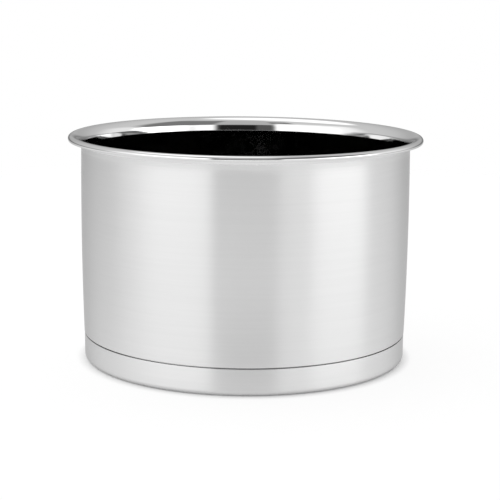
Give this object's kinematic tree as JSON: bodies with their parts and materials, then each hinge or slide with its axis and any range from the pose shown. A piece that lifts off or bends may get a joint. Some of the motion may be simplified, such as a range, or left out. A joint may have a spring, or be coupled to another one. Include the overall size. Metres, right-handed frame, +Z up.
{
  "type": "soup kettle pot",
  "caption": "Open round steel pot of a soup kettle, with a deep satin wall, a flared polished rim with a turned-down lip, and a tall capsule base that spreads heat.",
  "frame": {"origin": "on the ground, at the centre of the underside of the base", "axes": "+Z up, out of the mouth of the pot, along its axis of revolution; +X and +Y are any two directions across it"},
  "size_m": [0.2614, 0.2614, 0.1665],
  "materials": {
    "vessel_steel": "satin brushed round the outside, polished inside and on the rim",
    "cap_steel": "satin brushed",
    "core_aluminium": "rolled"
  },
  "bodies": {
    "root": {"pot_shell": "vessel_steel", "base_cap": "cap_steel", "core_disc": "core_aluminium"}
  },
  "joints": []
}
